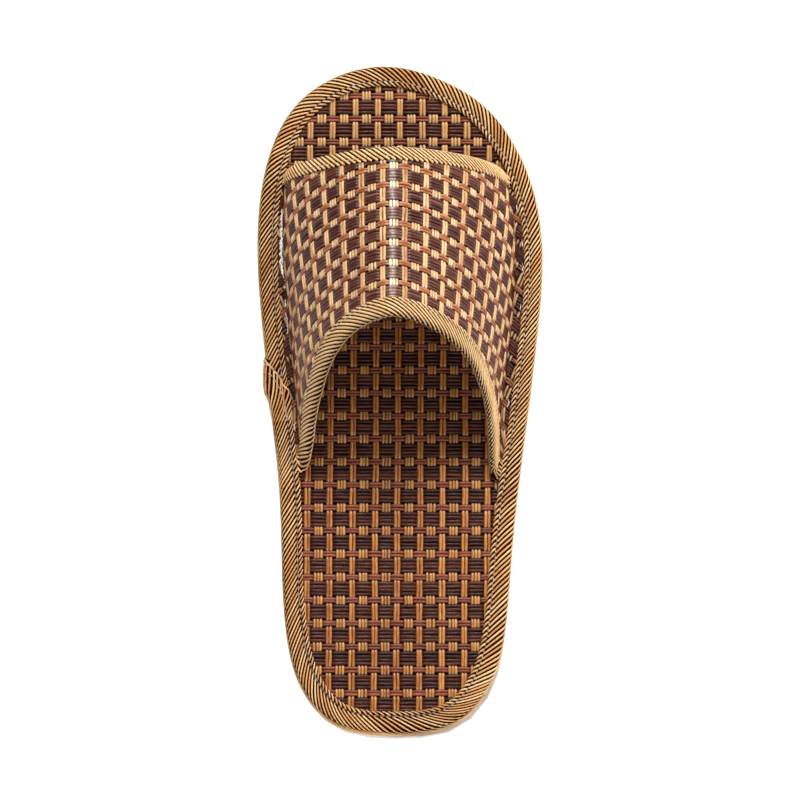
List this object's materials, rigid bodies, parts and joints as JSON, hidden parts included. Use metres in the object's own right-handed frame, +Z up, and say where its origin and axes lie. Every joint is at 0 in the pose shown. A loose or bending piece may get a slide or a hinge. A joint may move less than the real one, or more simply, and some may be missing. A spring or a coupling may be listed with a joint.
{
  "type": "woven slipper",
  "caption": "Right-foot open-toe, open-heel slide slipper: a peaked woven vamp and woven insole bound with striped bias tape on a flat foam sole.",
  "frame": {"origin": "on the floor under the middle of the slipper's length and width", "axes": "+X towards the little toe, +Y towards the toe, +Z up"},
  "size_m": [0.115, 0.2752, 0.0848],
  "materials": {
    "outsole_foam": "matt off-white moulded foam",
    "woven_insole": "twisted paper strands, dark brown, tan and red-brown, flat weave",
    "woven_upper": "twisted paper strands, dark brown, tan and red-brown, softly glossy",
    "bias_tape": "gold woven tape with thin dark diagonal stripes"
  },
  "bodies": {
    "root": {"outsole": "outsole_foam", "insole": "woven_insole", "upper": "woven_upper", "sole_binding": "bias_tape", "binding_lap": "bias_tape", "toe_binding": "bias_tape", "throat_binding": "bias_tape"}
  },
  "joints": []
}
